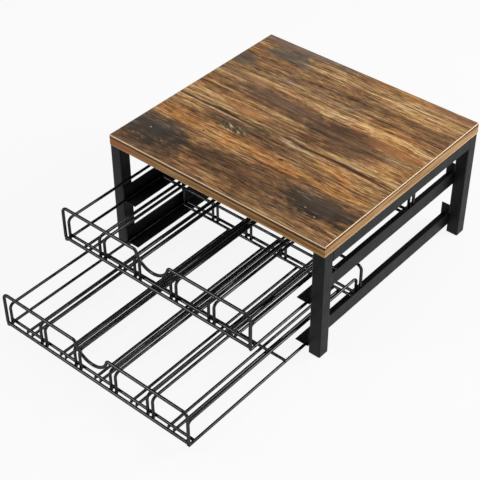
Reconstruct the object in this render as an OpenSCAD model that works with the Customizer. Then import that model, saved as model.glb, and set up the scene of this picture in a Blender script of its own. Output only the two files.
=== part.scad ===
// Coffee pod drawer: a wood-topped steel rack that carries two sliding wire drawers.
// Millimetres, +Z up. The drawers open towards -Y. The origin is on the floor, under the
// middle of the whole object as it stands with both drawers part open.

/* [Board] */
// Width of the board, side to side
board_w = 320; // [300:1:360]
// Depth of the board, front to back
board_d = 301; // [300:1:340]
// Thickness of the board
board_t = 15; // [14:0.5:25]
// Thickness of the edge band glued round the board
band_t = 1.2; // [1.1:0.1:2]
// Bevel along the board's top edges
bevel = 1; // [0.3:0.1:1]

/* [Side frames] */
// Height of the legs, from the floor to the board
leg_h = 150; // [146:1:200]
// Outer width of the square tube of the legs and top rails
tube = 16; // [14:0.5:18]
// Wall of the square tube
tube_wall = 1.2; // [1:0.1:2]
// Outer corner radius of the square tube
tube_r = 1.5; // [0.5:0.1:2.5]
// Thickness of the plastic plug's head under each leg
plug_head = 1.5; // [1:0.1:3]
// Length of the plug's stem inside the leg
plug_stem = 12; // [8:1:25]
// Gap between the plug's stem and the tube's wall
plug_play = 0.1; // [0.05:0.05:0.2]

/* [Runners] */
// Thickness of the runner's sheet steel
sheet = 1; // [0.8:0.1:1.5]
// Height of the runner's upright web
web_h = 20; // [15:0.5:26]
// Width of the runner's flange, which the drawer slides on
flange_w = 19; // [14:0.5:24]
// Inner radius of the bend between web and flange
sheet_bend = 1; // [0.5:0.1:1.5]
// Height of the lower runner's underside above the floor
lower_runner_z = 8.3; // [4:0.1:9]
// Rise from the lower runner to the upper runner
runner_rise = 64.7; // [62:0.1:66]

/* [Drawer wire] */
// Diameter of the wire of the two fences
fence_wire = 3.8; // [3:0.1:4]
// Diameter of every other wire in the drawer
thin_wire = 3.5; // [2.8:0.1:3.8]
// Gap left at a welded crossing, so that each wire stays a solid of its own
weld_gap = 0.02; // [0.01:0.01:0.05]

/* [Drawer frame] */
// Depth of a drawer, from the front fence to the rear fence
drawer_d = 300; // [280:1:302]
// Height of a fence's top rail above the side wires
fence_h = 48.6; // [40:0.1:52]
// Bend radius of a fence's top corners
fence_top_r = 7; // [5:0.5:10]
// Bend radius of a fence's bottom corners
fence_foot_r = 3; // [2.5:0.1:4]
// How far a side wire stands in from the fence's upright
side_inset = 0.3; // [0:0.1:3]
// Distance of the middle cross wire behind the front fence
mid_cross = 159; // [120:1:180]

/* [Finger dip] */
// Radius of the finger dip in the front fence
dip_r = 25; // [22:0.5:30]
// Radius of the bends that lead into the dip
dip_lead_r = 3.5; // [3:0.5:6]

/* [Pod lanes] */
// Distance from one lane's middle to the next
lane_pitch = 55.2; // [54:0.1:56]
// Distance between the two guide wires of a lane
guide_span = 47.4; // [46:0.1:48]
// Height of the guide wires above the side wires
guide_h = 30.9; // [20:0.1:35]
// Bend radius at the ends of a guide wire
guide_bend = 6; // [4:0.5:10]
// Distance between the two floor wires of a lane
floor_span = 8; // [7:0.1:16]

/* [Running gaps] */
// Gap between a fence and the runner's web, on each side
side_play = 0.4; // [0.3:0.1:1.5]
// Gap under the side wires, over the flange
seat_play = 0.3; // [0.2:0.05:0.5]
// Gap left at the rear stop when a drawer is shut
stop_play = 0.3; // [0.2:0.1:2]

/* [Drawer places] */
// How far the lower drawer stands out from shut
lower_pull = 196; // [0:0.5:240]
// How far the upper drawer stands out from shut
upper_pull = 96.5; // [0:0.5:240]

/* [Screws] */
// Diameter of a screw's shank
screw_d = 4; // [3:0.1:5]
// Diameter of a screw's head
screw_head_d = 8; // [7:0.1:9]
// Height of a screw's head
screw_head_h = 2.6; // [2:0.1:3]
// Depth that a screw reaches into the board
screw_bite = 10; // [6:0.5:11]
// Distance of a screw from the board's front or rear edge
screw_inset = 60; // [30:1:120]
// Gap round a screw in the top rail's holes
rail_hole_play = 0.3; // [0.1:0.1:0.5]
// Gap round a screw in the board's pilot hole
pilot_play = 0.05; // [0.05:0.05:0.1]
// Width of a slot of the screw's cross recess
recess_w = 1; // [0.6:0.1:1.4]
// Length of a slot of the screw's cross recess
recess_l = 4.4; // [3:0.1:5]
// Depth of the cross recess
recess_depth = 1.4; // [0.8:0.1:1.6]

/* [Hidden] */
$fn = 48;
// The lanes that NODES names, counted from the left
mid_lane = 3;
last_lane = 5;
// Cuts run this far past a face, so that they leave no skin
past = 1;

// Colours
band_gold = [0.60, 0.42, 0.20];
board_brown = [0.42, 0.26, 0.13];
frame_black = [0.10, 0.10, 0.11];
wire_black = [0.05, 0.05, 0.06];
plug_black = [0.08, 0.08, 0.08];
zinc = [0.66, 0.67, 0.68];

// Side frames, from the middle of the rack outwards
rack_x = board_w / 2;
leg_in_x = rack_x - tube;
rail_z = leg_h - tube;
rail_mid_x = rack_x - tube / 2;
stem_w = tube - 2 * tube_wall - 2 * plug_play;
plug_r = min(tube_r, stem_w / 4);

// Runners
upper_runner_z = lower_runner_z + runner_rise;
web_in_x = leg_in_x - sheet;
sheet_out_r = sheet + sheet_bend;

// Wires of a drawer, measured from its front fence and from the middle of its side wires
fence_x = web_in_x - side_play - fence_wire / 2;
side_x = fence_x - side_inset;
edge_guide_x = fence_x - (fence_wire + thin_wire) / 2;
guide_y = (fence_wire + thin_wire) / 2 + weld_gap;
cross_y = guide_y + thin_wire + weld_gap;
floor_y = cross_y - thin_wire / 2;
cross_z = thin_wire + weld_gap;
fence_z = (fence_wire + thin_wire) / 2 + weld_gap;
guide_foot_z = cross_z - thin_wire / 2;

// Finger dip: the direction from its middle to the middle of a lead-in bend follows a
// 7-24-25 triangle, so that the bends' ends meet on round numbers
dip_lean = [0.96, -0.28];
dip_x = (dip_r + dip_lead_r) * dip_lean.x;
dip_z = fence_h - dip_lead_r - (dip_r + dip_lead_r) * dip_lean.y;

// Places of the drawers: the front fence's middle, with the leg's front face as zero
shut_y = board_d - sheet - stop_play - fence_wire / 2 - drawer_d;
lower_y = shut_y - lower_pull;
upper_y = shut_y - upper_pull;
drawer_seat = sheet + seat_play + thin_wire / 2;
front_reach = min(0, min(lower_y, upper_y) - fence_wire / 2);
origin_y = (front_reach + board_d) / 2;

// ---- Places ----

// Moves what is drawn from the leg's front face to the origin
module in_rack() {
    translate([0, -origin_y, 0]) children();
}

// A drawer's own frame, at its place on its runners
module in_lower() {
    in_rack() translate([0, lower_y, lower_runner_z + drawer_seat]) children();
}

module in_upper() {
    in_rack() translate([0, upper_y, upper_runner_z + drawer_seat]) children();
}

// Draws on the right for side 1 and mirrors to the left for side -1
module on_side(side) {
    mirror([side < 0 ? 1 : 0, 0, 0]) children();
}

// Draws at the front for end 1 and mirrors to the rear for end -1
module at_end(end) {
    translate([0, end > 0 ? 0 : board_d, 0]) mirror([0, end > 0 ? 0 : 1, 0]) children();
}

// ---- Board ----

// Section of the board with its two bevelled top edges
module board_section(w) {
    polygon([
        [-w / 2, 0], [w / 2, 0],
        [w / 2, board_t - bevel], [w / 2 - bevel, board_t],
        [-w / 2 + bevel, board_t], [-w / 2, board_t - bevel]]);
}

// The whole board, which its core and its bands are cut from
module bevelled_slab() {
    intersection() {
        translate([0, board_d, leg_h]) rotate([90, 0, 0])
            linear_extrude(height = board_d) board_section(board_w);
        translate([-rack_x, board_d / 2, leg_h]) rotate([90, 0, 90])
            linear_extrude(height = board_w) board_section(board_d);
    }
}

// The places of the screws, at the middle of each top rail's width
module at_screws() {
    for (x = [-rail_mid_x, rail_mid_x], y = [screw_inset, board_d - screw_inset])
        translate([x, y, 0]) children();
}

module top_board() {
    color(board_brown) in_rack() difference() {
        intersection() {
            bevelled_slab();
            translate([-rack_x + band_t, band_t, leg_h])
                cube([board_w - 2 * band_t, board_d - 2 * band_t, board_t]);
        }
        at_screws() translate([0, 0, leg_h - past])
            cylinder(h = screw_bite + 2 * past, d = screw_d + 2 * pilot_play);
    }
}

// The front and rear bands run the whole width
module cross_band(end) {
    color(band_gold) in_rack() at_end(end) intersection() {
        bevelled_slab();
        translate([-rack_x, 0, leg_h]) cube([board_w, band_t, board_t]);
    }
}

// The side bands fit between the front and rear ones
module side_band(side) {
    color(band_gold) in_rack() on_side(side) intersection() {
        bevelled_slab();
        translate([rack_x - band_t, band_t, leg_h])
            cube([band_t, board_d - 2 * band_t, board_t]);
    }
}

// ---- Side frames ----

// A square with round corners, centred
module round_square(w, r) {
    square([w, w - 2 * r], center = true);
    square([w - 2 * r, w], center = true);
    for (x = [-1, 1], y = [-1, 1])
        translate([x * (w / 2 - r), y * (w / 2 - r)]) circle(r = r);
}

module tube_section() {
    difference() {
        round_square(tube, tube_r);
        square(tube - 2 * tube_wall, center = true);
    }
}

module leg(side, end) {
    color(frame_black) in_rack() on_side(side) at_end(end)
        translate([rail_mid_x, tube / 2, plug_head])
            linear_extrude(height = leg_h - plug_head) tube_section();
}

// A top rail joins two legs and is drilled through for the screws
module top_rail(side) {
    color(frame_black) in_rack() difference() {
        on_side(side) translate([rail_mid_x, board_d - tube, rail_z + tube / 2])
            rotate([90, 0, 0]) linear_extrude(height = board_d - 2 * tube) tube_section();
        at_screws() translate([0, 0, rail_z - past])
            cylinder(h = tube + 2 * past, d = screw_d + 2 * rail_hole_play);
    }
}

// Four plugs close the legs' lower ends and stand on the floor
module leg_plugs() {
    color(plug_black) in_rack() for (side = [-1, 1], end = [-1, 1])
        on_side(side) at_end(end) translate([rail_mid_x, tube / 2, 0]) {
            linear_extrude(height = plug_head) round_square(tube, tube_r);
            linear_extrude(height = plug_head + plug_stem) round_square(stem_w, plug_r);
        }
}

// Pan-head screws, driven upwards through the top rails
module board_screws() {
    color(zinc) in_rack() at_screws() difference() {
        union() {
            translate([0, 0, rail_z - screw_head_h])
                cylinder(h = screw_head_h, d = screw_head_d);
            translate([0, 0, rail_z - screw_head_h / 2])
                cylinder(h = screw_head_h / 2 + tube + screw_bite, d = screw_d);
        }
        for (turn = [0, 90])
            translate([0, 0, rail_z - screw_head_h - past]) rotate([0, 0, turn])
                translate([-recess_l / 2, -recess_w / 2, 0])
                    cube([recess_l, recess_w, recess_depth + past]);
    }
}

// ---- Runners ----

// The bent sheet: web against the legs' inner faces, flange turned inwards at the foot
module runner_section() {
    translate([leg_in_x - flange_w, 0]) square([flange_w - sheet_out_r, sheet]);
    translate([web_in_x, sheet_out_r]) square([sheet, web_h - sheet_out_r]);
    translate([leg_in_x - sheet_out_r, sheet_out_r]) intersection() {
        difference() {
            circle(r = sheet_out_r);
            circle(r = sheet_bend);
        }
        translate([0, -sheet_out_r]) square(sheet_out_r);
    }
}

// A tab at the rear end stops the drawer
module runner(side, z) {
    color(frame_black) in_rack() on_side(side) translate([0, 0, z]) {
        translate([0, board_d, 0]) rotate([90, 0, 0])
            linear_extrude(height = board_d) runner_section();
        translate([leg_in_x - flange_w, board_d - sheet, 0])
            cube([flange_w, sheet, web_h]);
    }
}

// ---- Wire ----

// Straight wires along an axis
module wire_x(from, to, d) {
    translate([from, 0, 0]) rotate([0, 90, 0]) cylinder(h = to - from, d = d);
}

module wire_y(from, to, d) {
    translate([0, from, 0]) rotate([-90, 0, 0]) cylinder(h = to - from, d = d);
}

module wire_z(from, to, d) {
    translate([0, 0, from]) cylinder(h = to - from, d = d);
}

// A bend of a wire that lies flat, about the point where it is drawn. It turns
// anticlockwise from direction a to direction b, by less than half a turn. The wedge that
// cuts it reaches over four times as far as the bend, in whole steps of 25, so that its
// corners are round numbers too
module wire_bend(r, a, b, d) {
    reach = 25 * ceil((r + d) / 6);
    intersection() {
        rotate_extrude() translate([r, 0]) circle(d = d);
        translate([0, 0, -d]) linear_extrude(height = 2 * d)
            polygon([[0, 0], reach * a, reach * (a + b), reach * b]);
    }
}

// Stands a wire shape up across the drawer: its X stays X, its Y becomes Z
module across() {
    rotate([90, 0, 0]) children();
}

// Stands a wire shape up along the drawer: its X becomes Y, its Y becomes Z
module along() {
    rotate([90, 0, 90]) children();
}

// ---- Drawer ----

// The sides and foot of a fence, with all four corner bends
module fence_frame() {
    foot_x = fence_x - fence_foot_r;
    top_x = fence_x - fence_top_r;
    translate([0, 0, fence_z]) wire_x(-foot_x, foot_x, fence_wire);
    for (side = [-1, 1]) {
        translate([side * fence_x, 0, 0])
            wire_z(fence_z + fence_foot_r, fence_h - fence_top_r, fence_wire);
        translate([side * foot_x, 0, fence_z + fence_foot_r]) across()
            wire_bend(fence_foot_r, side > 0 ? [0, -1] : [-1, 0],
                side > 0 ? [1, 0] : [0, -1], fence_wire);
        translate([side * top_x, 0, fence_h - fence_top_r]) across()
            wire_bend(fence_top_r, side > 0 ? [1, 0] : [0, 1],
                side > 0 ? [0, 1] : [-1, 0], fence_wire);
    }
}

module rear_fence() {
    top_x = fence_x - fence_top_r;
    color(wire_black) translate([0, drawer_d, 0]) {
        fence_frame();
        translate([0, 0, fence_h]) wire_x(-top_x, top_x, fence_wire);
    }
}

// The front fence's top rail dips in the middle, so that a finger can hook over it
module front_fence() {
    top_x = fence_x - fence_top_r;
    color(wire_black) {
        fence_frame();
        for (side = [-1, 1])
            translate([side > 0 ? 0 : -top_x - dip_x, 0, fence_h])
                wire_x(dip_x, top_x, fence_wire);
        translate([dip_x, 0, fence_h - dip_lead_r]) across()
            wire_bend(dip_lead_r, [0, 1], -dip_lean, fence_wire);
        translate([-dip_x, 0, fence_h - dip_lead_r]) across()
            wire_bend(dip_lead_r, [dip_lean.x, -dip_lean.y], [0, 1], fence_wire);
        translate([0, 0, dip_z]) across()
            wire_bend(dip_r, [-dip_lean.x, dip_lean.y], dip_lean, fence_wire);
    }
}

module side_wire(side) {
    color(wire_black) translate([side * side_x, 0, 0]) wire_y(0, drawer_d, thin_wire);
}

// A cross wire lies on the side wires and the floor wires
module cross_wire(y) {
    color(wire_black) translate([0, y, cross_z]) wire_x(-side_x, side_x, thin_wire);
}

// A guide wire runs along the lane at mid height and turns down at both ends
module guide_wire() {
    rear_y = drawer_d - guide_y;
    bend_z = guide_h - guide_bend;
    for (y = [guide_y, rear_y])
        translate([0, y, 0]) wire_z(guide_foot_z, bend_z, thin_wire);
    translate([0, 0, guide_h]) wire_y(guide_y + guide_bend, rear_y - guide_bend, thin_wire);
    translate([0, guide_y + guide_bend, bend_z]) along()
        wire_bend(guide_bend, [0, 1], [-1, 0], thin_wire);
    translate([0, rear_y - guide_bend, bend_z]) along()
        wire_bend(guide_bend, [1, 0], [0, 1], thin_wire);
}

// Lanes are counted from the left; the outermost guide wires stand beside the fence's uprights
module lane_guides(lane) {
    mid_x = (lane - mid_lane) * lane_pitch;
    left_x = lane == 1 ? -edge_guide_x : mid_x - guide_span / 2;
    right_x = lane == last_lane ? edge_guide_x : mid_x + guide_span / 2;
    color(wire_black) for (x = [left_x, right_x]) translate([x, 0, 0]) guide_wire();
}

module lane_floor(lane) {
    mid_x = (lane - mid_lane) * lane_pitch;
    color(wire_black) for (side = [-1, 1])
        translate([mid_x + side * floor_span / 2, 0, 0])
            wire_y(floor_y, drawer_d - floor_y, thin_wire);
}

// ---- The assembly ----

top_board();
cross_band(1);  // edge_band_front
cross_band(-1);  // edge_band_rear
side_band(-1);  // edge_band_left
side_band(1);  // edge_band_right
leg(-1, 1);  // leg_front_left
leg(1, 1);  // leg_front_right
leg(-1, -1);  // leg_rear_left
leg(1, -1);  // leg_rear_right
top_rail(-1);  // top_rail_left
top_rail(1);  // top_rail_right
leg_plugs();
board_screws();
runner(-1, upper_runner_z);  // upper_runner_left
runner(1, upper_runner_z);  // upper_runner_right
runner(-1, lower_runner_z);  // lower_runner_left
runner(1, lower_runner_z);  // lower_runner_right

in_upper() front_fence();  // upper_front_fence
in_upper() rear_fence();  // upper_rear_fence
in_upper() side_wire(-1);  // upper_side_wire_left
in_upper() side_wire(1);  // upper_side_wire_right
in_upper() cross_wire(cross_y);  // upper_front_cross_wire
in_upper() cross_wire(mid_cross);  // upper_mid_cross_wire
in_upper() cross_wire(drawer_d - cross_y);  // upper_rear_cross_wire
in_upper() lane_guides(1);  // upper_lane_1_guides
in_upper() lane_guides(2);  // upper_lane_2_guides
in_upper() lane_guides(3);  // upper_lane_3_guides
in_upper() lane_guides(4);  // upper_lane_4_guides
in_upper() lane_guides(5);  // upper_lane_5_guides
in_upper() lane_floor(1);  // upper_lane_1_floor
in_upper() lane_floor(2);  // upper_lane_2_floor
in_upper() lane_floor(3);  // upper_lane_3_floor
in_upper() lane_floor(4);  // upper_lane_4_floor
in_upper() lane_floor(5);  // upper_lane_5_floor

in_lower() front_fence();  // lower_front_fence
in_lower() rear_fence();  // lower_rear_fence
in_lower() side_wire(-1);  // lower_side_wire_left
in_lower() side_wire(1);  // lower_side_wire_right
in_lower() cross_wire(cross_y);  // lower_front_cross_wire
in_lower() cross_wire(mid_cross);  // lower_mid_cross_wire
in_lower() cross_wire(drawer_d - cross_y);  // lower_rear_cross_wire
in_lower() lane_guides(1);  // lower_lane_1_guides
in_lower() lane_guides(2);  // lower_lane_2_guides
in_lower() lane_guides(3);  // lower_lane_3_guides
in_lower() lane_guides(4);  // lower_lane_4_guides
in_lower() lane_guides(5);  // lower_lane_5_guides
in_lower() lane_floor(1);  // lower_lane_1_floor
in_lower() lane_floor(2);  // lower_lane_2_floor
in_lower() lane_floor(3);  // lower_lane_3_floor
in_lower() lane_floor(4);  // lower_lane_4_floor
in_lower() lane_floor(5);  // lower_lane_5_floor
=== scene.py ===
# %% [markdown]
# # A coffee pod drawer
#
# The object is a low rack: a wood-grain board on two frames of square steel tube, with two wire
# drawers that slide on bent-sheet runners. Its solids come from a CAD model and are already at
# their real size, so the work here is the finish of each surface and the small things that a
# welder and a coating shop leave behind. The first cell loads those solids.

# %% Load the solids
import math
import random

import bmesh
import bpy
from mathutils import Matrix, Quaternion, Vector


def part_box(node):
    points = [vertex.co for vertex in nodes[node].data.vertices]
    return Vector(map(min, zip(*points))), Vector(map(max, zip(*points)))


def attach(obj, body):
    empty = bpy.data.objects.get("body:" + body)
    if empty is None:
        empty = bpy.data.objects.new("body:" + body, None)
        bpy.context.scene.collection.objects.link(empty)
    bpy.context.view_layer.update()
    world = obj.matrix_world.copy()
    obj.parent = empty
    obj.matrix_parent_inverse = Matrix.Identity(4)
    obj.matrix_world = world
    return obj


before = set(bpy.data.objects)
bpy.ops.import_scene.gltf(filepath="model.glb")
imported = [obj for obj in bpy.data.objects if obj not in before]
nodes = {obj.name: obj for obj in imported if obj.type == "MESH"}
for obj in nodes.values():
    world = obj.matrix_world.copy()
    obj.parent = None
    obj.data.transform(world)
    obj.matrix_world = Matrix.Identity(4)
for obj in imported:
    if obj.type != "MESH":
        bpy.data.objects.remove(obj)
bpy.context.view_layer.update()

# %% [markdown]
# ## Measures
#
# Blender works in metres, and small parts read better in millimetres. One value turns one into
# the other. X runs across the rack, Y runs back and Z runs up, and a point's three numbers are
# picked by those names. Everything that follows takes its place from the boxes of the solids, so
# that a changed solid carries its dressing with it.

# %% Measures
MM = 0.001
ACROSS, BACK, UP = range(3)
DRAWERS = ("lower", "upper")
BANDS = ("edge_band_front", "edge_band_rear", "edge_band_left", "edge_band_right")


def even(size):
    """The same size along all three axes."""
    return (size,) * 3


def whole_box(names):
    """The lowest and highest corners of several solids together."""
    boxes = [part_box(name) for name in names]
    low = Vector(map(min, *(b[0] for b in boxes)))
    high = Vector(map(max, *(b[1] for b in boxes)))
    return low, high


board_low, board_high = whole_box(BANDS)
print("board in millimetres:", [round(v / MM, 1) for v in board_high - board_low])

# %% [markdown]
# ## The camera
#
# A product picture is taken from far away with a long lens, so that the board's far edge looks
# nearly as long as its near edge. The camera is placed by two angles and a distance from the
# point that it looks at, which is easier to think about than three coordinates. It is tilted by
# a quarter of a degree, as a camera on a stand often is.

# %% Camera
LOOK_AT = Vector((-0.0352, 0.0399, 0.0118))
CAMERA_TURN = math.radians(40.61)
CAMERA_RISE = math.radians(39.94)
CAMERA_TILT = math.radians(-0.24)
CAMERA_DISTANCE = 1.5364
LENS = 92.15
SENSOR_WIDTH = 36

to_camera = Vector((math.sin(CAMERA_TURN) * math.cos(CAMERA_RISE),
                    -math.cos(CAMERA_TURN) * math.cos(CAMERA_RISE),
                    math.sin(CAMERA_RISE)))
camera = bpy.data.objects.new("camera", bpy.data.cameras.new("camera"))
bpy.context.scene.collection.objects.link(camera)
camera.data.lens = LENS
camera.data.sensor_width = SENSOR_WIDTH
camera.data.clip_start, camera.data.clip_end = 0.05, 20
camera.location = LOOK_AT + to_camera * CAMERA_DISTANCE
camera.rotation_mode = "QUATERNION"
tilt = Quaternion((0, 0, 1), CAMERA_TILT)
camera.rotation_quaternion = (-to_camera).to_track_quat("-Z", "Y") @ tilt
bpy.context.scene.camera = camera
print("camera at", [round(v, 3) for v in camera.location])

# %% [markdown]
# ## Short ways to build a node graph
#
# A material in Blender is a graph of nodes, and so is the world's light. Made by hand a graph is
# drawn with the mouse, and in a script it soon fills pages with links. This small class keeps
# one graph and gives each plain step a short name. An input takes either a plain value or
# another node's output.

# %% Node graph
class Graph:
    """One graph of nodes, and short ways to add to it."""

    def __init__(self, tree):
        self.tree = tree

    def add(self, kind, **settings):
        """A new node of a kind, such as TexNoise."""
        node = self.tree.nodes.new("ShaderNode" + kind)
        for key, value in settings.items():
            setattr(node, key, value)
        return node

    def feed(self, socket, value):
        """Gives an input a plain value or another node's output."""
        if isinstance(value, bpy.types.NodeSocket):
            self.tree.links.new(value, socket)
        else:
            socket.default_value = value

    def math(self, operation, a, b=0.0, c=0.0):
        node = self.add("Math", operation=operation)
        for socket, value in zip(node.inputs, (a, b, c)):
            self.feed(socket, value)
        return node.outputs[0]

    def vector(self, operation, a, b=(0, 0, 0), c=(0, 0, 0)):
        node = self.add("VectorMath", operation=operation)
        for socket, value in zip(node.inputs, (a, b, c)):
            self.feed(socket, value)
        return node.outputs["Value" if operation == "LENGTH" else "Vector"]

    def axes(self, place):
        node = self.add("SeparateXYZ")
        self.feed(node.inputs[0], place)
        return node.outputs[0], node.outputs[1], node.outputs[2]


print("short ways:", [way for way in vars(Graph) if way[0] != "_"])

# %% [markdown]
# ## Patterns from numbers
#
# A finish is mostly noise: smooth values from 0 to 1 that depend on the place alone and never
# repeat. These steps make noise of a wanted grain, shift a place by it, fade from one value to
# another, and turn a value into a colour. Noise seldom leaves the range of 0.3 to 0.7, so a fade
# over that range makes use of nearly all of it.

# %% Patterns
NOISE_RANGE = (0.3, 0.7)
NOISE_MIDDLE = 0.5
# The Mix node keeps a pair of inputs for each kind of value. These are the colours' places.
MIX_FIRST, MIX_SECOND, MIX_RESULT = 6, 7, 2


class Patterns(Graph):
    """A graph with the steps that draw patterns."""

    def noise(self, place, grain, detail=3.0, rough=0.5, bend=0.0, output="Fac"):
        """Noise from 0 to 1 whose grains are about as large as grain, axis by axis."""
        node = self.add("TexNoise")
        self.feed(node.inputs["Vector"], self.vector("DIVIDE", place, grain))
        node.inputs["Scale"].default_value = 1
        node.inputs["Detail"].default_value = detail
        node.inputs["Roughness"].default_value = rough
        node.inputs["Distortion"].default_value = bend
        return node.outputs[output]

    def drift(self, place, grain, reach):
        """A small shift of place, at most about half of reach along each axis."""
        colour = self.noise(place, grain, detail=2, output="Color")
        return self.vector("MULTIPLY", self.vector("SUBTRACT", colour, even(NOISE_MIDDLE)), reach)

    def swing(self, value, reach):
        """Turns 0 to 1 into a swing about 0, half of reach each way."""
        return self.math("MULTIPLY_ADD", value, reach, -reach / 2)

    def fade(self, value, start, end, low=0.0, high=1.0):
        """Runs smoothly from low to high as value runs from start to end."""
        node = self.add("MapRange", interpolation_type="SMOOTHSTEP")
        for socket, given in zip(node.inputs, (value, start, end, low, high)):
            self.feed(socket, given)
        return node.outputs[0]

    def mix(self, share, first, second, how="MIX"):
        """The first colour, with a share of the second in it."""
        node = self.add("Mix", data_type="RGBA", blend_type=how)
        self.feed(node.inputs["Factor"], share)
        self.feed(node.inputs[MIX_FIRST], first)
        self.feed(node.inputs[MIX_SECOND], second)
        return node.outputs[MIX_RESULT]

    def ramp(self, value, stops):
        """A colour for each value, from a list of (value, colour)."""
        node = self.add("ValToRGB")
        self.feed(node.inputs[0], value)
        band = node.color_ramp
        while len(band.elements) < len(stops):
            band.elements.new(0.5)
        for element, (at, colour) in zip(band.elements, stops):
            element.position = at
            element.color = colour
        return node.outputs[0]


print("ways to draw:", [way for way in vars(Patterns) if way[0] != "_"])

# %% [markdown]
# ## A finish
#
# A finish is one material: a graph of patterns that ends in a shader. Its colours are written as
# a screen shows them, because that is how people pick them, and turned into the light that a
# shader counts in. Its place is the object's own, so that a pattern moves with its drawer.

# %% Finish
def screen(red, green, blue):
    """A colour as a screen gives it, 0 to 255, as the linear light that a shader takes."""
    light = [c / 255 for c in (red, green, blue)]
    return [c / 12.92 if c < 0.04 else ((c + 0.055) / 1.055) ** 2.4 for c in light] + [1]


class Finish(Patterns):
    """One material, with its shader."""

    def __init__(self, name, colour, roughness, gloss=0.5):
        self.material = bpy.data.materials.new(name)
        self.material.use_nodes = True
        self.material.diffuse_color = colour
        super().__init__(self.material.node_tree)
        self.shader = self.tree.nodes["Principled BSDF"]
        self.set("Base Color", colour)
        self.set("Roughness", roughness)
        self.set("Specular IOR Level", gloss)
        self.place = self.add("TexCoord").outputs["Object"]

    def set(self, name, value):
        """Gives an input of the shader a plain value or a pattern."""
        self.feed(self.shader.inputs[name], value)

    def millimetres_from(self, corner):
        """The place in millimetres from a corner."""
        return self.vector("DIVIDE", self.vector("SUBTRACT", self.place, corner), even(MM))

    def bump(self, height, depth):
        """Raises the surface by depth, in metres, where height is 1."""
        node = self.add("Bump")
        self.feed(node.inputs["Height"], height)
        node.inputs["Distance"].default_value = depth
        self.set("Normal", node.outputs[0])


print("a mid grey is", round(screen(128, 128, 128)[0], 3), "in linear light")

# %% [markdown]
# ## Powder-coated steel
#
# The tubes and runners are coated with powder that is baked on. It is black with a satin sheen,
# and under a lens it has the fine dimples of orange peel. A satin surface is mostly its own dark
# grey with a weak, wide reflection, so the specular level is low and the roughness is middling.
# A little noise in the bump gives the dimples, and broader noise in the colour and roughness
# keeps a long flat face from looking printed.

# %% Powder coat
DIMPLE_SIZE, DIMPLE_DEPTH = 0.9 * MM, 0.02 * MM
POWDER_PATCH = 16 * MM
POWDER_ROUGHNESS = (0.4, 0.52)


def powder_coat():
    coat = Finish("powder_coat", screen(28, 29, 31), roughness=0.48, gloss=0.12)
    peel = coat.noise(coat.place, even(DIMPLE_SIZE), detail=2)
    patchy = coat.noise(coat.place, even(POWDER_PATCH))
    coat.set("Roughness", coat.fade(patchy, *NOISE_RANGE, *POWDER_ROUGHNESS))
    shade = coat.mix(coat.fade(patchy, *NOISE_RANGE), screen(25, 26, 28), screen(31, 32, 34))
    coat.set("Base Color", shade)
    coat.bump(peel, DIMPLE_DEPTH)
    return coat.material


steel_finish = powder_coat()
print("made", steel_finish.name)

# %% [markdown]
# ## Coated wire
#
# The drawers are dipped after welding, and the coat pulls tight round each wire as it cures. It
# is black and glossy, so a wire shows one thin bright line of light and is nearly black beside
# it. A clear coat over a dark base gives that: the base stays black, and the coat alone makes
# the line. A usual coat mirrors far more at its rim than at its middle, which greys a thin wire
# on a white floor. A strong index with a low weight mirrors about evenly, and keeps it black.
# Only the faintest waviness is left in the bump, or the line would break up.

# %% Wire coat
WIRE_PATCH = 25 * MM
WAVE_SIZE, WAVE_DEPTH = 6 * MM, 0.01 * MM


def wire_coat():
    coat = Finish("wire_coat", screen(14, 14, 15), roughness=0.4, gloss=0.0)
    coat.set("Coat Weight", 0.16)
    coat.set("Coat Roughness", 0.1)
    coat.set("Coat IOR", 3.0)
    patchy = coat.noise(coat.place, even(WIRE_PATCH), detail=2)
    shade = coat.mix(coat.fade(patchy, *NOISE_RANGE), screen(11, 11, 12), screen(17, 17, 18))
    coat.set("Base Color", shade)
    coat.bump(coat.noise(coat.place, even(WAVE_SIZE), detail=1), WAVE_DEPTH)
    return coat.material


wire_finish = wire_coat()
print("made", wire_finish.name)

# %% [markdown]
# ## Plugs and screws
#
# The plugs that close the legs are moulded plastic, dull and slightly grainy. The screws are
# zinc-plated steel: metal and pale, with fine scuffs that run along the screw. Both are small
# and mostly out of sight, so one noise for each is enough.

# %% Plastic and zinc
PLASTIC_GRAIN, PLASTIC_DEPTH = 0.5 * MM, 0.05 * MM
SCUFF_SIZE, SCUFF_DEPTH = (0.3 * MM, 0.3 * MM, 3 * MM), 0.02 * MM
ZINC_ROUGHNESS = (0.28, 0.5)


def plug_plastic():
    plastic = Finish("plug_plastic", screen(28, 28, 29), roughness=0.6, gloss=0.4)
    grain = plastic.noise(plastic.place, even(PLASTIC_GRAIN))
    shade = plastic.mix(plastic.fade(grain, *NOISE_RANGE), screen(24, 24, 25), screen(33, 33, 34))
    plastic.set("Base Color", shade)
    plastic.bump(grain, PLASTIC_DEPTH)
    return plastic.material


def zinc_plate():
    zinc = Finish("zinc_plate", screen(190, 192, 194), roughness=0.35)
    zinc.set("Metallic", 1)
    scuff = zinc.noise(zinc.place, SCUFF_SIZE)
    zinc.set("Roughness", zinc.fade(scuff, *NOISE_RANGE, *ZINC_ROUGHNESS))
    zinc.bump(scuff, SCUFF_DEPTH)
    return zinc.material


plug_finish = plug_plastic()
screw_finish = zinc_plate()
print("made", plug_finish.name, "and", screw_finish.name)

# %% [markdown]
# ## The board's laminate
#
# The board is faced with printed laminate that copies old, weathered boards. Its grain runs from
# side to side. A picture of wood could be laid on it, but a picture has one size and repeats,
# and this surface is worked out from its place on the board, so it is sharp at any distance.
#
# The plan is in millimetres from the board's front left corner, shifted a little by slow and
# quick noise, so that no line of the grain is quite straight. The torn value roughens the rim of
# each patch: part of it is streaky, as grain is, and part is cloudy, as a stain is.

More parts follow.
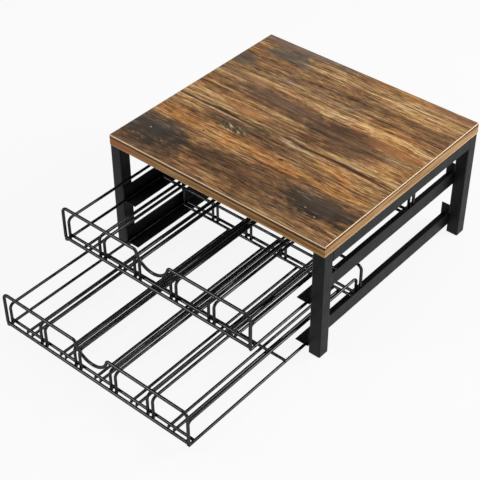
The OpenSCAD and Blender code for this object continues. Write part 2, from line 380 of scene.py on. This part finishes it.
# %% Plan of the laminate
SLOW_BEND = ((150, 50, 60), (0, 11, 0))  # size of the waves, reach of the shift
QUICK_BEND = ((24, 9, 20), (4, 1.6, 0))
STREAK, TORN_BY_STREAKS = (18, 2.4, 20), 1.0
CLOUD, TORN_BY_CLOUDS = (15, 8, 20), 1.7
PATCH_RIM = (1.4, 0.45)


class Laminate(Finish):
    """The wood-grain finish, with its own plan of the board in millimetres."""

    def __init__(self, name):
        super().__init__(name, screen(133, 101, 73), roughness=0.5, gloss=0.2)
        self.flat = self.millimetres_from(board_low)
        bends = [self.drift(self.flat, *bend) for bend in (SLOW_BEND, QUICK_BEND)]
        self.plan = self.vector("ADD", self.flat, self.vector("ADD", *bends))
        streaky = self.noise(self.plan, STREAK, detail=4, rough=0.6)
        cloudy = self.noise(self.flat, CLOUD, detail=4, rough=0.65)
        self.torn = self.math("ADD", self.swing(streaky, TORN_BY_STREAKS),
                              self.swing(cloudy, TORN_BY_CLOUDS))

    def oval(self, plan, across, back, reach_across, reach_back):
        """0 in the middle of an oval, 1 at its rim and more beyond it."""
        scale = (1 / reach_across, 1 / reach_back, 0)
        shift = (-across / reach_across, -back / reach_back, 0)
        return self.vector("LENGTH", self.vector("MULTIPLY_ADD", plan, scale, shift))

    def patch(self, *oval):
        """1 in the middle of an oval patch and 0 outside it, with a torn rim."""
        return self.fade(self.math("ADD", self.oval(self.plan, *oval), self.torn), *PATCH_RIM)


laminate = Laminate("rustic_laminate")
print("plan made with", len(laminate.tree.nodes), "nodes")

# %% [markdown]
# Old boards are never one colour. Here the eye finds dark weathered patches, golden ones, and a
# warm stripe near the front. They are listed one by one as ovals, because noise alone spreads its
# patches evenly, and it is the uneven ones that make a board look real. Each oval says how much
# lighter or darker it makes the wood, and how much warmer or greyer.

# %% Patches of the laminate
PATCHES = [
    # across, back, half width, half depth, lighter, warmer
    (60, 293, 95, 10, -0.05, -1.0), (215, 294, 60, 6, 0.02, 0.8), (57, 272, 32, 12, -0.11, -1.2),
    (8, 232, 24, 15, -0.16, -1.0), (9, 259, 14, 8, 0.03, 0.7), (262, 268, 70, 15, 0.17, 0.35),
    (140, 264, 60, 12, 0.06, -0.1), (240, 247, 76, 7, -0.15, -0.05), (120, 243, 60, 5, -0.06, 0.0),
    (95, 226, 80, 9, 0.05, -0.3), (75, 208, 44, 3, 0.14, 0.2), (240, 202, 96, 7, 0.4, 0.6),
    (230, 215, 92, 9, 0.15, 0.4), (285, 189, 50, 9, 0.04, 1.1), (40, 197, 44, 9, -0.05, -0.2),
    (115, 181, 68, 15, -0.15, -0.4), (222, 166, 52, 28, -0.22, -0.1),
    (78, 150, 92, 13, 0.06, 0.3), (100, 141, 22, 7, 0.05, 0.9), (290, 153, 38, 14, 0.13, 0.4),
    (270, 136, 62, 6, 0.22, -0.1), (128, 107, 76, 11, -0.17, -0.2), (265, 112, 64, 12, 0.12, 0.6),
    (22, 112, 34, 9, 0.12, 0.4), (160, 82, 200, 12, 0.09, 0.85), (36, 92, 50, 13, 0.03, 0.5),
    (30, 42, 52, 27, -0.24, -1.0), (88, 46, 46, 9, -0.03, -0.1), (160, 42, 120, 18, -0.22, 0.0),
    (284, 50, 52, 22, -0.32, -0.55), (130, 22, 120, 9, -0.1, 0.3), (236, 8, 90, 9, -0.07, 0.1),
    (30, 9, 66, 15, -0.2, -0.2),
]

lighter, warmer = 0.0, 0.0
for *oval, tone_step, warm_step in PATCHES:
    share = laminate.patch(*oval)
    lighter = laminate.math("MULTIPLY_ADD", share, tone_step, lighter)
    warmer = laminate.math("MULTIPLY_ADD", share, warm_step, warmer)
print("patches:", len(PATCHES))

# %% [markdown]
# ### Knots
#
# Beside the long crack the grain swirls round two small knots. They could be drawn as rings, but
# a knot mostly shows by what it does to the grain: it pushes the lines apart. So near its middle
# the plan is squeezed, and the same lines are drawn wider and bow round it.

# %% Knots
KNOTS = [(104, 127, 17, 4), (186, 126, 21, 6)]  # across, back, half width, half depth
KNOT_REACH = 2.0  # how far the squeeze is felt, in half widths and half depths
KNOT_SQUEEZE = 0.8

grain_plan = laminate.plan
for knot in KNOTS:
    from_knot = laminate.oval(grain_plan, *knot)
    squeeze = laminate.fade(from_knot, KNOT_REACH, 0.0, 0.0, KNOT_SQUEEZE)
    behind_knot = laminate.math("SUBTRACT", laminate.axes(grain_plan)[BACK], knot[BACK])
    push = laminate.add("CombineXYZ")
    laminate.feed(push.inputs[BACK], laminate.math("MULTIPLY", behind_knot, squeeze))
    grain_plan = laminate.vector("SUBTRACT", grain_plan, push.outputs[0])
print("knots:", len(KNOTS))

# %% [markdown]
# ### Grain
#
# On that bent plan lies the grain itself, in six sizes from broad bands to hair lines, and one
# even mottle. Their sum is the tone of the wood. Weathering fills the grain, so the lines are
# fainter where a patch is dark.

# %% Grain
GRAIN = [
    # across, back, detail, strength
    (130, 12, 2, 0.5), (140, 4.6, 2, 0.7), (110, 2.0, 2, 0.75), (34, 3.2, 3, 0.65),
    (10, 1.6, 3, 1.05), (26, 0.9, 2, 1.25),
]
GRAIN_UP, GRAIN_ROUGH, GRAIN_BEND = 30, 0.62, 0.1
MOTTLE, MOTTLE_STRENGTH, DARKEST = (17, 9, 20), 0.3, 0.32
FILLED_BY_DARKNESS = 1.2

grain_sum = 0.0
for size_across, size_back, detail, strength in GRAIN:
    size = (size_across, size_back, GRAIN_UP)
    grain = laminate.noise(grain_plan, size, detail, GRAIN_ROUGH, GRAIN_BEND)
    grain_sum = laminate.math("ADD", grain_sum, laminate.swing(grain, strength))
mottle = laminate.noise(laminate.flat, MOTTLE, detail=4, rough=0.6)
mottle = laminate.math("MULTIPLY_ADD", mottle, MOTTLE_STRENGTH, DARKEST)
base_tone = laminate.math("ADD", lighter, mottle)
grain_share = laminate.math("MULTIPLY_ADD", lighter, FILLED_BY_DARKNESS, 1.0)
tone = laminate.math("MULTIPLY_ADD", grain_sum, grain_share, base_tone)
print("grain widths:", [row[1] for row in GRAIN])

# %% [markdown]
# ### Colour
#
# A paint maker would keep three charts for this wood: one brown, one weathered grey and one
# warm. Each runs from dark to light. The tone picks the place on all three, and the warmth
# chooses between them, so a dark streak in a warm patch is still a warm dark. A last, weak
# tinge of rose and green keeps one tone from being one colour.

# %% Colour of the wood
STEPS = (0.0, 0.2, 0.39, 0.58, 0.76, 1.0)
BROWN = ((46, 33, 23), (86, 62, 42), (126, 91, 60),
         (162, 121, 78), (193, 153, 102), (230, 200, 154))
GREY = ((42, 37, 33), (74, 63, 53), (108, 92, 76),
        (144, 122, 97), (174, 150, 120), (210, 192, 164))
WARM = ((56, 30, 15), (98, 60, 30), (142, 90, 46),
        (180, 122, 66), (210, 153, 88), (240, 198, 136))
SWAY, SWAY_REACH = (50, 14, 30), 2.4
FULLY_WARM, FULLY_GREY = 1.3, -1.1
TINGE, TINGE_RANGE = (22, 8, 20), (0.35, 0.65)
ROSE_TINGE, GREEN_TINGE = (1.0, 0.94, 1.0, 1), (0.95, 1.0, 0.93, 1)


def wood_chart(colours):
    """The colour of the tone on one chart."""
    return laminate.ramp(tone, [(at, screen(*c)) for at, c in zip(STEPS, colours)])


sway = laminate.noise(laminate.plan, SWAY, detail=2)
warmth = laminate.math("ADD", warmer, laminate.swing(sway, SWAY_REACH))
wood = wood_chart(BROWN)
wood = laminate.mix(laminate.fade(warmth, 0.0, FULLY_WARM), wood, wood_chart(WARM))
wood = laminate.mix(laminate.fade(warmth, 0.0, FULLY_GREY), wood, wood_chart(GREY))
tinge = laminate.fade(laminate.noise(laminate.flat, TINGE), *TINGE_RANGE)
wood = laminate.mix(1.0, wood, laminate.mix(tinge, ROSE_TINGE, GREEN_TINGE), "MULTIPLY")
print("charts of", len(STEPS), "steps")

# %% [markdown]
# In places the print is nearly blank: a stain covers the grain with one flat colour, as old
# varnish and damp do. A darker patch alone would still show its grain. So each stain is an oval
# that lays its own colour over the wood, and says how much of the grain it hides.

# %% Stains on the laminate
STAINS = [
    # across, back, half width, half depth, share hidden, colour
    (45, 295, 95, 9, 0.65, (126, 100, 84)), (57, 272, 28, 11, 0.6, (100, 88, 76)),
    (8, 231, 24, 15, 0.6, (98, 82, 68)), (285, 188, 52, 9, 0.5, (166, 116, 76)),
    (100, 142, 28, 8, 0.5, (172, 124, 82)), (36, 198, 46, 8, 0.4, (146, 112, 84)),
    (112, 182, 66, 13, 0.4, (112, 86, 70)), (236, 168, 56, 25, 0.3, (106, 79, 58)),
    (22, 44, 56, 25, 0.45, (68, 60, 52)), (300, 294, 60, 8, 0.4, (152, 108, 82)),
    (272, 54, 40, 13, 0.45, (84, 70, 56)), (20, 8, 60, 12, 0.3, (84, 68, 56)),
]

for *oval, hidden, colour in STAINS:
    share = laminate.math("MULTIPLY", laminate.patch(*oval), hidden)
    wood = laminate.mix(share, wood, screen(*colour))
print("stains:", len(STAINS))

# %% [markdown]
# ### The crack and its lines
#
# One long crack crosses the board in two lengths that pass each other at the knots. Beside it run
# pale lines, as where a plank's rounded edge catches the light. Each line is a curve through a
# few points, and thins out at both ends. Ends that lie beyond the board run off its edge.

# %% Lines of the laminate
SOOT, UMBER = screen(44, 32, 22), screen(76, 38, 18)
STRAW, HONEY, CHALK = screen(222, 184, 124), screen(206, 162, 88), screen(222, 198, 160)
LINES = [
    # colour, depth, half width, points of (across, back)
    (STRAW, 0.7, 2.4, [(-30, 130.5), (20, 131.6), (42, 133.6), (67, 133.8), (92, 132)]),
    (STRAW, 0.65, 1.6, [(36, 129), (67, 129.8), (96, 129.8), (125, 131.4), (158, 130.6)]),
    (CHALK, 0.5, 1.5, [(-30, 119.6), (20, 120.2), (67, 119.8), (106, 119.4)]),
    (HONEY, 0.55, 3.6, [(200, 134), (240, 136), (280, 135.4), (370, 132)]),
    (CHALK, 0.65, 1.3, [(216, 131.8), (260, 132.6), (300, 133.4), (370, 132)]),
    (CHALK, 0.5, 1.0, [(160, 131.8), (172, 133.4), (185, 133), (198, 129)]),
    (CHALK, 0.65, 1.7, [(158, 120.4), (185, 119.8), (200, 120), (222, 119.6)]),
    (SOOT, 0.85, 2.3, [(-60, 123.6), (20, 123.2), (45, 122.6), (67, 123.2), (90, 122.6),
                       (115, 122), (150, 122.8), (178, 122)]),
    (SOOT, 0.75, 2.0, [(48, 125.4), (67, 126.2), (84, 125.2), (98, 124)]),
    (SOOT, 0.7, 1.6, [(84, 128), (105, 128.6), (125, 127.6), (144, 125)]),
    (SOOT, 0.5, 1.4, [(40, 117.4), (70, 117.4), (112, 117.8)]),
    (SOOT, 0.7, 1.7, [(118, 119.4), (140, 118.4), (160, 118.2), (182, 118.8)]),
    (SOOT, 0.8, 4.2, [(152, 129.8), (172, 128.6), (190, 126.8), (214, 125.6)]),
    (UMBER, 0.95, 3.3, [(186, 125.4), (218, 127.6), (236, 128.4), (260, 127.4), (300, 127)]),
    (UMBER, 0.9, 1.8, [(236, 126.4), (280, 125.6), (305, 123.4), (370, 122.6)]),
    (UMBER, 0.7, 1.3, [(262, 128.4), (300, 127.6), (370, 126)]),
    (SOOT, 0.4, 1.1, [(150, 214), (200, 216), (300, 213)]),
    (SOOT, 0.4, 1.0, [(20, 244), (90, 246), (160, 243)]),
    (STRAW, 0.5, 1.5, [(26, 206), (60, 208.4), (104, 208)]),
    (STRAW, 0.45, 1.3, [(200, 275), (260, 277.5), (330, 276)]),
    (STRAW, 0.4, 1.1, [(216, 262), (270, 263), (330, 261)]),
]
print("lines:", len(LINES))

# %% [markdown]
# A node can hold a curve through points, but only inside a square from 0 to 1. So the way along
# a line is turned into 0 to 1 first, and the curve's answer is turned back into millimetres.
# The distance from the curve is shaken by noise, so that the line trembles as a real crack does.
# The pale lines also break up here and there.

# %% Draw the lines
TREMBLE, TREMBLE_REACH = (13, 6, 9), 3.0
BREAK_SIZE, BREAKS = (7, 1.1, 9), (0.32, 0.56, 0.35, 1.0)
CURVE_MARGIN = 1  # keeps the curve's points off the square's rim, in millimetres
LINE_TAPER = 0.22  # the share of a line's length over which each end thins out
LINE_CORE = 0.25  # the share of the half width that is fully dark

flat_across, flat_back, _ = laminate.axes(laminate.flat)
tremble = laminate.swing(laminate.noise(laminate.flat, TREMBLE), TREMBLE_REACH)
shaken_back = laminate.math("ADD", flat_back, tremble)
breaks = laminate.noise(laminate.flat, BREAK_SIZE, detail=2)
breaks = laminate.fade(breaks, *BREAKS)


def line_share(half_width, points):
    """1 on a line through the points, 0 away from it, thinning out at both ends."""
    start, end = points[0][0], points[-1][0]
    low = min(back for _, back in points) - CURVE_MARGIN
    high = max(back for _, back in points) + CURVE_MARGIN
    node = laminate.add("FloatCurve")
    way = laminate.math("MULTIPLY_ADD", flat_across, 1 / (end - start), -start / (end - start))
    laminate.feed(node.inputs["Value"], way)
    curve = node.mapping.curves[0]
    while len(curve.points) < len(points):
        curve.points.new(0.5, 0.5)
    for point, (across, back) in zip(curve.points, points):
        point.location = ((across - start) / (end - start), (back - low) / (high - low))
    node.mapping.update()
    line_back = laminate.math("MULTIPLY_ADD", node.outputs[0], high - low, low)
    off = laminate.math("ABSOLUTE", laminate.math("SUBTRACT", shaken_back, line_back))
    taper = (end - start) * LINE_TAPER
    ends = laminate.math("MULTIPLY", laminate.fade(flat_across, start, start + taper),
                         laminate.fade(flat_across, end, end - taper))
    return laminate.math("MULTIPLY", ends,
                         laminate.fade(off, half_width, half_width * LINE_CORE))


crack_share = 0.0
for colour, depth, half_width, points in LINES:
    share = line_share(half_width, points)
    if colour in (SOOT, UMBER):
        crack_share = laminate.math("MAXIMUM", crack_share, share)
    else:
        share = laminate.math("MULTIPLY", share, breaks)
    wood = laminate.mix(laminate.math("MULTIPLY", share, depth), wood, colour)
print("dark lines:", sum(row[0] in (SOOT, UMBER) for row in LINES))

# %% [markdown]
# ### Small marks
#
# A few pinholes and specks lie about the board, and beside the left knot a plane has torn the
# grain into short slanted strokes. The strokes are grain again, turned by a quarter of a right
# angle and kept inside one small oval.

# %% Small marks
PINHOLES = [(186.5, 90.5, 5.6, 1.9), (80, 77, 2.2, 1.8), (245, 87.5, 3.6, 1.5)]
SPECKS = [(280, 32.6, 2.0, 1.4), (27, 42.7, 2.2, 1.6), (56, 30, 1.8, 1.2), (262, 40, 2.4, 1.0)]
STROKES = (104, 102, 24, 10)
STROKE_SIZE, STROKE_TURN = (9, 2.2, 9), math.radians(24)
PALE_STROKES, DARK_STROKES = (0.51, 0.62, 0.0, 0.85), (0.49, 0.4, 0.0, 0.8)
SPECK_SHARE = 0.5
SPOT_RIM = (1.0, 0.35)


def spots(*ovals):
    """1 in the middle of each of some small ovals and 0 outside them."""
    total = 0.0
    for oval in ovals:
        spot = laminate.fade(laminate.oval(laminate.flat, *oval), *SPOT_RIM)
        total = laminate.math("MAXIMUM", total, spot)
    return total


turned = laminate.add("VectorRotate", rotation_type="Z_AXIS")
laminate.feed(turned.inputs["Vector"], laminate.flat)
turned.inputs["Angle"].default_value = STROKE_TURN
stroke = laminate.noise(turned.outputs[0], STROKE_SIZE, detail=2)
torn_here = spots(STROKES)
pale_stroke = laminate.math("MULTIPLY", torn_here, laminate.fade(stroke, *PALE_STROKES))
dark_stroke = laminate.math("MULTIPLY", torn_here, laminate.fade(stroke, *DARK_STROKES))
wood = laminate.mix(dark_stroke, wood, screen(62, 56, 44))
wood = laminate.mix(pale_stroke, wood, screen(204, 192, 146))
wood = laminate.mix(spots(*PINHOLES), wood, screen(24, 16, 12))
wood = laminate.mix(laminate.math("MULTIPLY", spots(*SPECKS), SPECK_SHARE), wood, CHALK)
print("small marks:", len(PINHOLES) + len(SPECKS))

# %% [markdown]
# Now the wood's colour goes into the shader. Pale wood is a little glossier than dark wood, and
# the tone also lifts the surface by a twentieth of a millimetre, with the crack cut down into it.

# %% Finish the laminate
DARK_TO_PALE, DULL_TO_GLOSSY = (0.1, 0.9), (0.56, 0.44)
LAMINATE_DEPTH = 0.05 * MM

laminate.set("Base Color", wood)
laminate.set("Roughness", laminate.fade(tone, *DARK_TO_PALE, *DULL_TO_GLOSSY))
laminate.bump(laminate.math("SUBTRACT", tone, crack_share), LAMINATE_DEPTH)
board_finish = laminate.material
print("laminate nodes:", len(laminate.tree.nodes))

# %% [markdown]
# ## The edge band
#
# The chipboard's cut edges are hidden by a strip of the same paper, glued on and then shaved
# to a small bevel. Shaving cuts through the print, so the bevel's rim shows as a pale line, with
# a dark line of glue and burnt edge just under it. The pale line is also a painted highlight: it
# stands in for the light that the bevel catches. On the strip the grain runs lengthwise, in wide
# golden and brown stripes. The strips that run across turn redder at their left ends, and their
# tone is set lower than the side strips' as painted shade, because the front face gets less
# light. Each line keeps to one height, so a fade over the height draws it sharply all along the
# strip.

# %% Edge band
PALE_CUT_AND_HIGHLIGHT, GLUE, PRINT_RIM = screen(250, 218, 178), screen(78, 40, 6), screen(120, 88, 58)
BAND_COLOURS = [
    (0.05, screen(84, 52, 26)), (0.28, screen(126, 84, 44)), (0.5, screen(166, 122, 72)),
    (0.7, screen(192, 150, 98)), (0.92, screen(212, 178, 130)),
]
BAND_GRAIN = [
    # along the strip, through it, up it, detail, strength
    (160, 9, 3.2, 2, 1.5), (40, 9, 1.2, 4, 0.9), (14, 3, 0.5, 2, 0.4),
]
BAND_LOOK = {
    # how it runs: heights of the pale line and of the glue line, share of glue, tone
    # the strips across: their tone is set lower as painted shade of the less lit front face
    "across": ((12.9, 14.4), (8.8, 11.0), 0.95, 0.49),
    "along": ((13.8, 14.6), (10.0, 12.0), 0.9, 0.56),
}
RED_END, RED_SHARE, RED_FROM_LEFT = screen(168, 92, 50), 0.6, (70, 10)
LOWER_CUT, LOWER_CUT_SHARE = (2.0, 0.5), 0.25
BAND_ROUGH, BAND_DEPTH = 0.6, 0.04 * MM


def edge_band(runs):
    """The finish of the strips that run across the board or along its sides."""
    (pale_start, pale_end), glue_line, glue_share, tone = BAND_LOOK[runs]
    band = Finish("edge_band_" + runs, screen(166, 122, 72), roughness=0.5, gloss=0.2)
    plan = band.millimetres_from(board_low)
    from_left, _, up = band.axes(plan)
    for length, through, height, detail, strength in BAND_GRAIN:
        size = (length, through, height) if runs == "across" else (through, length, height)
        grain = band.noise(plan, size, detail, BAND_ROUGH)
        tone = band.math("ADD", tone, band.swing(grain, strength))
    colour = band.ramp(tone, BAND_COLOURS)
    if runs == "across":
        red = band.math("MULTIPLY", band.fade(from_left, *RED_FROM_LEFT), RED_SHARE)
        colour = band.mix(red, colour, RED_END)
    colour = band.mix(band.fade(up, *glue_line, 0.0, glue_share), colour, GLUE)
    colour = band.mix(band.fade(up, *LOWER_CUT, 0.0, LOWER_CUT_SHARE), colour, PALE_CUT_AND_HIGHLIGHT)
    # the top pale line: the shaved cut, and also a painted highlight of the bevel
    colour = band.mix(band.fade(up, pale_start - 0.2, pale_start + 0.1), colour, PALE_CUT_AND_HIGHLIGHT)
    colour = band.mix(band.fade(up, pale_end - 0.1, pale_end + 0.1), colour, PRINT_RIM)
    band.set("Base Color", colour)
    band.bump(tone, BAND_DEPTH)
    return band.material


cross_band_finish = edge_band("across")
side_band_finish = edge_band("along")
print("made", cross_band_finish.name, "and", side_band_finish.name)

# %% [markdown]
# ## Dressing the solids
#
# Each solid keeps its shape and gets its finish by its name. The names are plain words, so a
# short list of name parts is enough, and the first one that fits wins.

# %% Dress the solids
FINISH_OF = [
    ("top_board", board_finish), ("edge_band_front", cross_band_finish),
    ("edge_band_rear", cross_band_finish), ("edge_band", side_band_finish),
    ("leg_plugs", plug_finish), ("board_screws", screw_finish), ("leg_", steel_finish),
    ("top_rail", steel_finish), ("runner", steel_finish), ("upper_", wire_finish),
    ("lower_", wire_finish),
]

for name, solid in nodes.items():
    finish = next(made for part, made in FINISH_OF if part in name)
    for material_slot in solid.material_slots:
        material_slot.material = finish
print("dressed", len(nodes), "solids")

# %% [markdown]
# ## Weld nuggets on the drawers
#
# A drawer's wires are pressed together and spot-welded where they cross. The steel melts a
# little there and leaves a small collar round the touching point. Without it crossing wires
# look like loose sticks. The wires could be melted together with a boolean, but a small sphere
# that sinks into both looks the same and costs far less. Each is flattened and made slightly
# uneven, and all of one drawer's collars are one mesh.

# %% Weld nuggets
NUGGET_R = 1.9 * MM
NUGGET_UNEVEN = 0.08
NUGGET_FLATTENED = 0.72
chance = random.Random(7)


def nugget(mesh, point, flat_axis, radius=NUGGET_R):
    """Adds one collar at a point, flattened along an axis."""
    made = bmesh.ops.create_icosphere(mesh, subdivisions=2, radius=radius)["verts"]
    for v in made:
        v.co *= 1 + NUGGET_UNEVEN * (chance.random() - 0.5)
        v.co[flat_axis] *= NUGGET_FLATTENED
        v.co += point


def piece_from(mesh, name, finish, body):
    """Turns built faces into a piece that rides on a body of the frame."""
    data = bpy.data.meshes.new(name)
    mesh.to_mesh(data)
    mesh.free()
    for face in data.polygons:
        face.use_smooth = True
    data.materials.append(finish)
    piece = bpy.data.objects.new(name, data)
    bpy.context.scene.collection.objects.link(piece)
    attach(piece, body)
    return piece


print("a collar is", round(2 * NUGGET_R / MM, 1), "millimetres across")

# %% [markdown]
# To know where the wires cross, it is enough to know where each one lies. A single wire lies at
# the middle of its box. Every lane has two floor wires and two guide wires, and each pair is one
# solid, so its two wires lie one wire's radius in from the ends of its box.

# %% Find the wires
LANES = range(1, 6)


def middle(name):
    low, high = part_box(name)
    return (low + high) / 2


def lane_wires(drawer, part):
    """The X of each wire of a part that every lane has two of."""
    side_low, side_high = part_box(f"{drawer}_side_wire_left")
    radius = (side_high.x - side_low.x) / 2
    found = []
    for lane in LANES:
        low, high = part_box(f"{drawer}_lane_{lane}_{part}")
        found += [low.x + radius, high.x - radius]
    return found


print("wires in each drawer's floor:", len(lane_wires("lower", "floor")))

# %% [markdown]
# The collars sit where a cross wire passes over the wires that run front to back, where the side
# wires pass under the fences, and where the guide wires' feet meet a fence and a cross wire.

# %% Place the nuggets
def weld_nuggets(drawer):
    mesh = bmesh.new()
    guides, floors = lane_wires(drawer, "guides"), lane_wires(drawer, "floor")
    sides = [middle(f"{drawer}_side_wire_{side}").x for side in ("left", "right")]
    wire_z = middle(f"{drawer}_side_wire_left").z
    for row in ("front", "mid", "rear"):
        cross = middle(f"{drawer}_{row}_cross_wire")
        for x in floors + sides:
            nugget(mesh, Vector((x, cross.y, (cross.z + wire_z) / 2)), UP)
    for end in ("front", "rear"):
        fence_low, fence_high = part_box(f"{drawer}_{end}_fence")
        fence_y = (fence_low.y + fence_high.y) / 2
        fence_r = (fence_high.y - fence_low.y) / 2
        foot_z = fence_low.z + fence_r
        cross = middle(f"{drawer}_{end}_cross_wire")
        way = 1 if cross.y > fence_y else -1
        for x in sides:
            nugget(mesh, Vector((x, fence_y, (foot_z + wire_z) / 2)), UP)
        for x in guides:
            nugget(mesh, Vector((x, fence_y + way * fence_r, foot_z)), BACK)
            nugget(mesh, Vector((x, (cross.y + fence_y + way * fence_r) / 2, cross.z)), BACK)
    return piece_from(mesh, f"{drawer}_weld_nuggets", wire_finish, f"{drawer}_drawer")


for drawer in DRAWERS:
    made = weld_nuggets(drawer)
    print(made.name, len(made.data.polygons), "faces")

# %% [markdown]
# ## Weld beads on the frame
#
# The tubes and runners are joined with a torch, which leaves a rippled bead. On the outside it is
# ground flush before coating, and on the inside it stays. A bead is a row of small flattened
# drops that overlap, as the molten steel lays them down.

# %% Weld beads
BEAD_R = 0.7 * MM
BEAD_LENGTH = 11 * MM
BEAD_STEP = 0.8 * BEAD_R
BEAD_ONTO_WEB = 0.3 * MM


def bead(mesh, point, along_axis, flat_axis):
    """A row of overlapping drops along an axis, with its middle at a point."""
    drops = round(BEAD_LENGTH / BEAD_STEP)
    for k in range(drops):
        place = Vector(point)
        place[along_axis] += (k / (drops - 1) - 0.5) * BEAD_LENGTH
        nugget(mesh, place, flat_axis, BEAD_R)


def frame_beads():
    mesh = bmesh.new()
    for side, way in (("left", -1), ("right", 1)):
        for end in ("front", "rear"):
            leg_low, leg_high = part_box(f"leg_{end}_{side}")
            rail_low, rail_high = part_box(f"top_rail_{side}")
            inner_x = leg_low.x if way > 0 else leg_high.x
            joint_y = rail_low.y if end == "front" else rail_high.y
            bead(mesh, (inner_x, joint_y, (rail_low.z + rail_high.z) / 2), UP, ACROSS)
            for drawer in DRAWERS:
                runner_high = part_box(f"{drawer}_runner_{side}")[1]
                on_web = (inner_x - way * BEAD_ONTO_WEB, (leg_low.y + leg_high.y) / 2,
                          runner_high.z)
                bead(mesh, on_web, BACK, ACROSS)
    return piece_from(mesh, "frame_weld_beads", steel_finish, "cabinet")


made = frame_beads()
print(made.name, len(made.data.polygons), "faces")

# %% [markdown]
# ## Floor
#
# The floor is a plain pale sheet. For the camera, and in reflections, most of its colour comes
# from its own glow, so it stays near white while the rest of its colour still takes the rack's
# shadow. The light that it throws back on the rack comes from its plain colour alone.

# %% Floor
FLOOR_GLOW = 0.89
FLOOR_REACH = 8
WHITE = (1, 1, 1, 1)
CORNERS = ((-1, -1), (1, -1), (1, 1), (-1, 1))


def looked_at(graph):
    """1 for what the camera sees, straight, mirrored or through something, and 0 for the rest."""
    light = graph.add("LightPath")
    seen = graph.math("MAXIMUM", light.outputs["Is Camera Ray"], light.outputs["Is Glossy Ray"])
    return graph.math("MAXIMUM", seen, light.outputs["Is Transmission Ray"])


def floor_finish():
    sheet = Finish("floor", screen(225, 225, 225), roughness=0.8, gloss=0.1)
    glow = sheet.add("Emission")
    glow.inputs["Color"].default_value = WHITE
    both = sheet.add("MixShader")
    sheet.feed(both.inputs[0], sheet.math("MULTIPLY", looked_at(sheet), FLOOR_GLOW))
    sheet.feed(both.inputs[1], sheet.shader.outputs[0])
    sheet.feed(both.inputs[2], glow.outputs[0])
    sheet.feed(sheet.tree.nodes["Material Output"].inputs[0], both.outputs[0])
    return sheet.material


floor_data = bpy.data.meshes.new("floor")
floor_data.from_pydata([(x * FLOOR_REACH, y * FLOOR_REACH, 0) for x, y in CORNERS],
                       [], [(0, 1, 2, 3)])
floor_data.materials.append(floor_finish())
floor = bpy.data.objects.new("floor", floor_data)
bpy.context.scene.collection.objects.link(floor)
print("floor made,", 2 * FLOOR_REACH, "metres across")

# %% [markdown]
# ## World
#
# The world is a studio with a white wall and a dim ceiling. The camera and the glossy wires see
# the wall low down, all the way round, and it fades into the ceiling higher up, because a white
# ceiling would turn black wire grey. Everything else is lit more plainly, by the dim ceiling all
# round and only half of what the wall adds to it.

# %% World
CEILING_LIGHT = 0.2
WALL_LIGHT = 0.93
WALL_TOP = (0.22, 0.36)
WALL_SHARE = 0.5


def studio():
    world = bpy.data.worlds.new("studio")
    world.use_nodes = True
    graph = Patterns(world.node_tree)
    height = graph.axes(graph.add("TexCoord").outputs["Generated"])[UP]
    wall = graph.fade(height, *WALL_TOP, WALL_LIGHT - CEILING_LIGHT, 0.0)
    wall_share = graph.math("MAXIMUM", looked_at(graph), WALL_SHARE)
    sky = graph.tree.nodes["Background"]
    graph.feed(sky.inputs["Color"], WHITE)
    graph.feed(sky.inputs["Strength"],
               graph.math("MULTIPLY_ADD", wall_share, wall, CEILING_LIGHT))
    return world


bpy.context.scene.world = studio()
print("wall light", WALL_LIGHT, "and ceiling light", CEILING_LIGHT)

# %% [markdown]
# ## Lamps
#
# The lamps do the rest. A large one overhead lights the board evenly. A strong one behind on
# the right draws the bright line along each wire and makes the right-hand faces lighter than the
# front ones. A smaller one at the front left does the same for the wires that run across. They
# are set by brightness, because a lamp's watts say little until its size is known.

# %% Lamps
LAMP_AIM = Vector((0, 0, 0.1))


def softbox(name, place, size, brightness):
    """A square lamp at a place, turned to the rack, as bright as so many white cards."""
    data = bpy.data.lights.new(name, "AREA")
    data.size = size
    data.energy = math.pi * brightness * size * size
    lamp = bpy.data.objects.new(name, data)
    bpy.context.scene.collection.objects.link(lamp)
    lamp.location = place
    lamp.rotation_mode = "QUATERNION"
    lamp.rotation_quaternion = (LAMP_AIM - lamp.location).to_track_quat("-Z", "Y")
    print(name, round(data.energy, 1), "watts")


softbox("softbox_above", (0, 0.1, 2.2), 1.6, 1.2)
softbox("softbox_rear_right", (1.3, 1.25, 1.1), 1.0, 9.8)
softbox("softbox_front_left", (-1.2, -1.4, 1.6), 0.72, 9.2)
bpy.context.scene.view_settings.view_transform = "Standard"

# %% [markdown]
